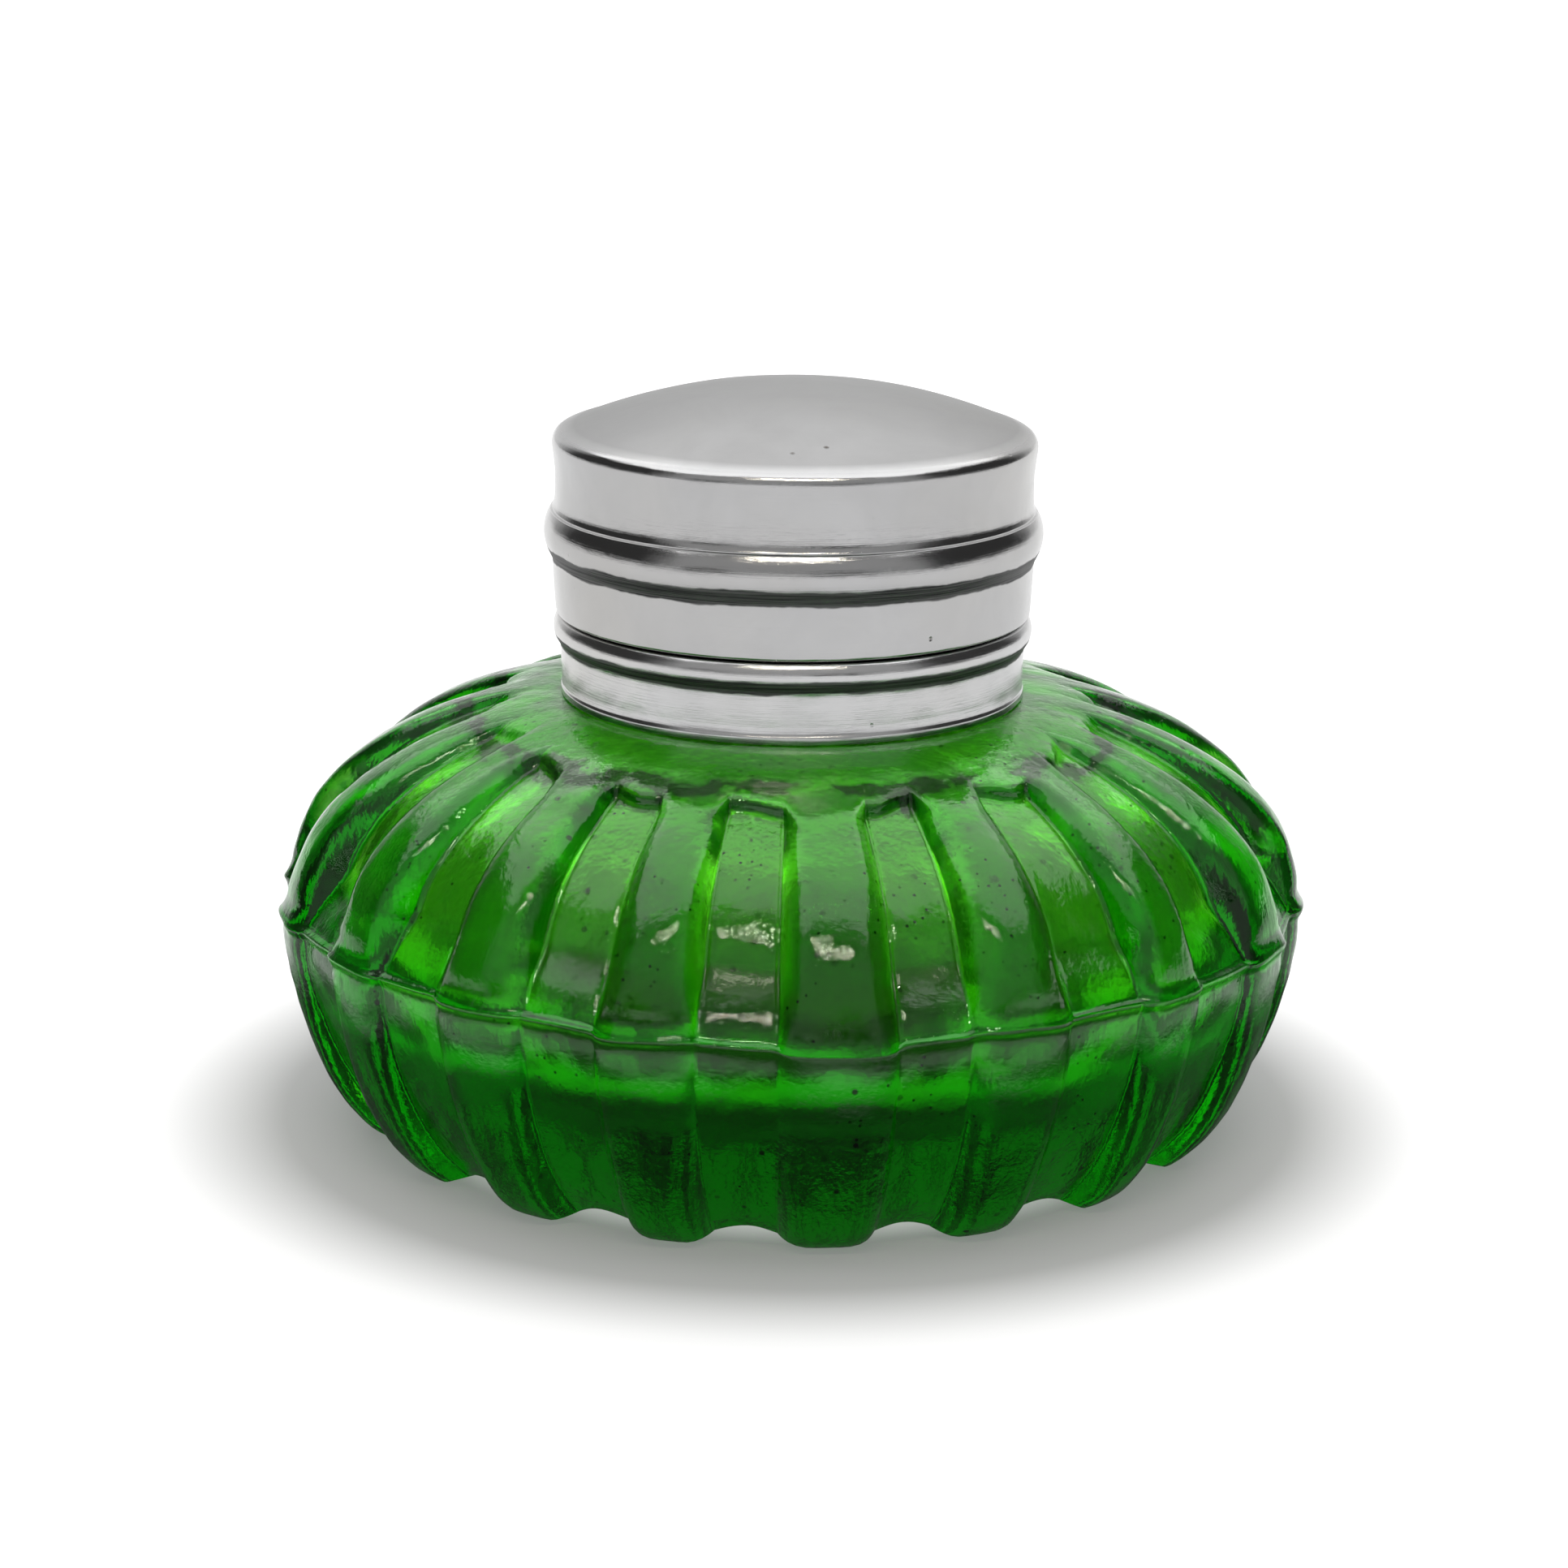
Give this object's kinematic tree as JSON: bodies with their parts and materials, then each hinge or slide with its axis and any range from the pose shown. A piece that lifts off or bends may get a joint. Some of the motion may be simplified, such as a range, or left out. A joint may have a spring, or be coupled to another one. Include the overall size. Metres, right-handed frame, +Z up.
{
  "type": "desk inkwell",
  "caption": "Squat lobed green glass inkwell with a metal collar and a domed screw lid that turns off its neck to open the mouth.",
  "frame": {"origin": "on the axis, on the plane that the pot stands on", "axes": "+Z up along the pot's axis, -Y towards the front lobe"},
  "size_m": [0.0798, 0.0798, 0.0579],
  "materials": {
    "green_glass": "pressed emerald green glass, fire-polished, fine specks and mould seams",
    "plaster": "set plaster of Paris, matt off-white",
    "collar_metal": "polished spun metal, light neutral grey, fine scratches",
    "lid_metal": "polished spun metal, dome slightly satin, fine scratches and a few small pits",
    "thread_metal": "turned metal, fine tool marks",
    "cork": "natural cork, dark pores"
  },
  "bodies": {
    "well": {"glass_well": "green_glass", "neck_cement": "plaster", "collar": "collar_metal", "neck_thread_ring": "thread_metal"},
    "wad": {"lid_seal": "cork"},
    "lid": {"lid_shell": "lid_metal", "lid_thread_ring": "thread_metal"}
  },
  "joints": [
    {"name": "lid_lift", "type": "slide", "parent": "well", "child": "wad", "axis": [0, 0, 1], "range_m": [0, 0.024]},
    {"name": "lid_turn", "type": "hinge", "parent": "wad", "child": "lid", "pos_m": [0, 0, 0.045], "axis": [0, 0, 1], "range_deg": [0, 2880]}
  ],
  "couplings": [
    {"joint": "lid_lift", "follows": "lid_turn", "m_per_rad": 0.00047746}
  ]
}
